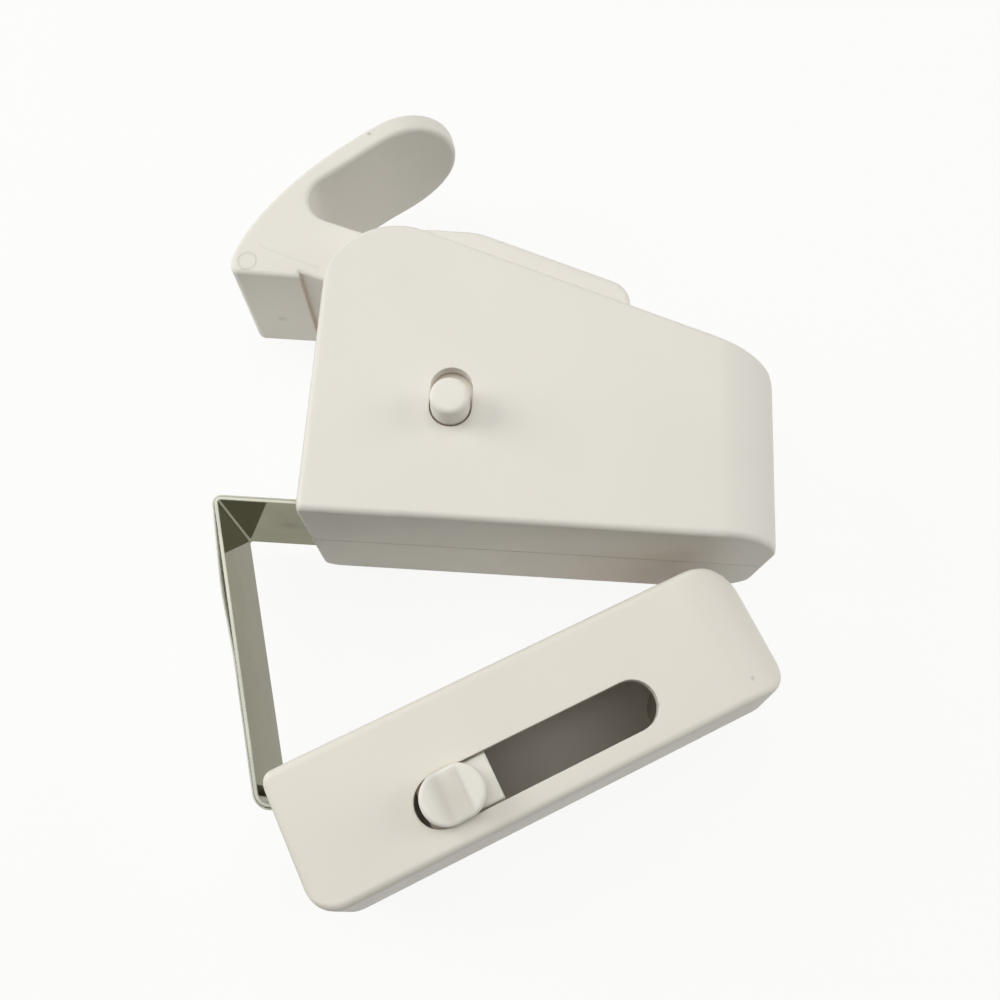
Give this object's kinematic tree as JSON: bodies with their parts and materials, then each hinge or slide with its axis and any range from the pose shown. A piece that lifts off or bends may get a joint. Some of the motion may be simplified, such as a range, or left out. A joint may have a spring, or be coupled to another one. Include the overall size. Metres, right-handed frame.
{
  "type": "child safety door lock",
  "caption": "Clamp-on child safety lock for a door edge: springy steel strap joining a wedge housing with swinging hook arm and lock button to a long jaw with a thumb slider.",
  "frame": {"origin": "centre of the housing's flat underside, the face that lies on the door", "axes": "+X along the housing away from the strap, +Y away from the door out of the housing's sloping top, +Z out of the face with the lock button"},
  "size_m": [0.0984, 0.1454, 0.042],
  "materials": {
    "housing_plastic": "fine satin moulded finish",
    "arm_plastic": "fine satin moulded finish",
    "jaw_plastic": "fine satin moulded finish",
    "button_plastic": "smooth satin moulded finish",
    "inner_plastic": "plain moulded finish",
    "strap_steel": "bright rolled spring strip",
    "tape_steel": "bright rolled thin strip",
    "pin_steel": "drawn wire",
    "spring_steel": "drawn wire",
    "screw_steel": "zinc plated"
  },
  "bodies": {
    "root": {"front_shell": "housing_plastic", "rear_shell": "housing_plastic", "shell_screw_1": "screw_steel", "shell_screw_2": "screw_steel", "shell_screw_3": "screw_steel", "shell_screw_4": "screw_steel", "door_strap": "strap_steel", "pull_tape": "tape_steel", "latch_pivot_pin": "pin_steel", "latch_spring": "spring_steel"},
    "latch": {"latch_arm": "arm_plastic"},
    "lock": {"lock_bar": "inner_plastic", "lock_button": "button_plastic"},
    "carriage": {"cam_carriage": "inner_plastic"},
    "jaw": {"jaw_front_shell": "jaw_plastic", "jaw_rear_shell": "jaw_plastic", "jaw_screw_1": "screw_steel", "jaw_screw_2": "screw_steel", "jaw_screw_3": "screw_steel"},
    "slider": {"slider_knob": "button_plastic", "slider_keeper": "inner_plastic", "keeper_screw": "screw_steel"}
  },
  "joints": [
    {"name": "latch_swing", "type": "hinge", "parent": "root", "child": "latch", "pos_m": [-0.0276, 0.041, 0], "axis": [0, 0, -1], "range_deg": [0, 70], "stiffness_Nm_per_rad": 0.04, "springref_deg": -17.19, "deforming": ["latch_spring"]},
    {"name": "lock_slide", "type": "slide", "parent": "root", "child": "lock", "axis": [0, 1, 0], "range_m": [0, 0.0035], "deforming": ["pull_tape"]},
    {"name": "carriage_slide", "type": "slide", "parent": "root", "child": "carriage", "axis": [-1, 0, 0], "range_m": [0, 0.0245], "deforming": ["pull_tape"]},
    {"name": "jaw_flex", "type": "hinge", "parent": "root", "child": "jaw", "pos_m": [-0.0479, -0.0202, 0], "axis": [0, 0, -1], "range_deg": [0, 29], "stiffness_Nm_per_rad": 3, "springref_deg": -5.73, "deforming": ["door_strap", "pull_tape"]},
    {"name": "slider_slide", "type": "slide", "parent": "jaw", "child": "slider", "axis": [0.8742, 0.4856, 0], "range_m": [0, 0.0245], "deforming": ["pull_tape"]}
  ],
  "couplings": [
    {"joint": "carriage_slide", "follows": "lock_slide", "ratio": 7},
    {"joint": "slider_slide", "follows": "lock_slide", "ratio": 7}
  ]
}
